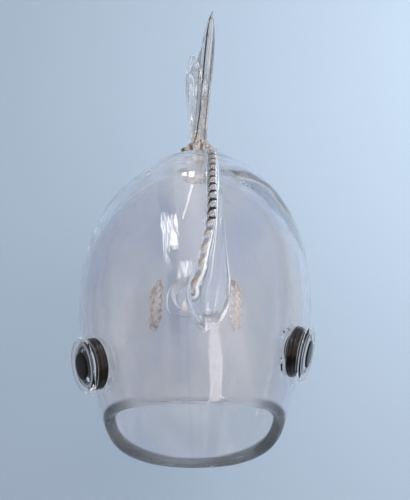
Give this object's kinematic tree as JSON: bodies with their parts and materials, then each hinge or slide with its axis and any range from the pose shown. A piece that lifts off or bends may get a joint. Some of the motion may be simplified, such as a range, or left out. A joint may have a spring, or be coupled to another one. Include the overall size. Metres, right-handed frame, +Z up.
{
  "type": "glass fish bowl",
  "caption": "Hand-blown clear glass fish-shaped bowl with an open lipped mouth, applied eyes, dorsal fin with a twisted crest trail, pleated belly fins and a forked tail.",
  "frame": {"origin": "the middle of the ground spot under the belly, where the bowl touches the floor: Z = 0 is the plane of the ground spot and of the belly fins' feet", "axes": "+Z up (dorsal fin), -Y towards the open mouth, +Y towards the tail, +X to the eye on the right when the mouth faces the viewer (the fish's own left side). The body axis is tilted 6 degrees mouth-up"},
  "size_m": [0.1202, 0.2311, 0.1449],
  "materials": {
    "clear_glass": "clear, fire-polished, colourless with a faint lavender-grey cast",
    "warm_clear_glass": "clear, fire-polished, faintly tan-pink where it was pinched",
    "amber_streak_glass": "clear twisted trail, polished, with brown-black streaks",
    "dark_glass": "near-black brown glass, polished"
  },
  "bodies": {
    "root": {"body_shell": "clear_glass", "tail_collar": "warm_clear_glass", "tail_fin": "clear_glass", "dorsal_fin": "clear_glass", "dorsal_crest_trail": "amber_streak_glass", "belly_pad": "clear_glass", "left_belly_fin": "warm_clear_glass", "right_belly_fin": "warm_clear_glass", "left_eye_wrap": "dark_glass", "left_eye_lens": "clear_glass", "left_eye_pupil": "dark_glass", "right_eye_wrap": "dark_glass", "right_eye_lens": "clear_glass", "right_eye_pupil": "dark_glass"}
  },
  "joints": []
}
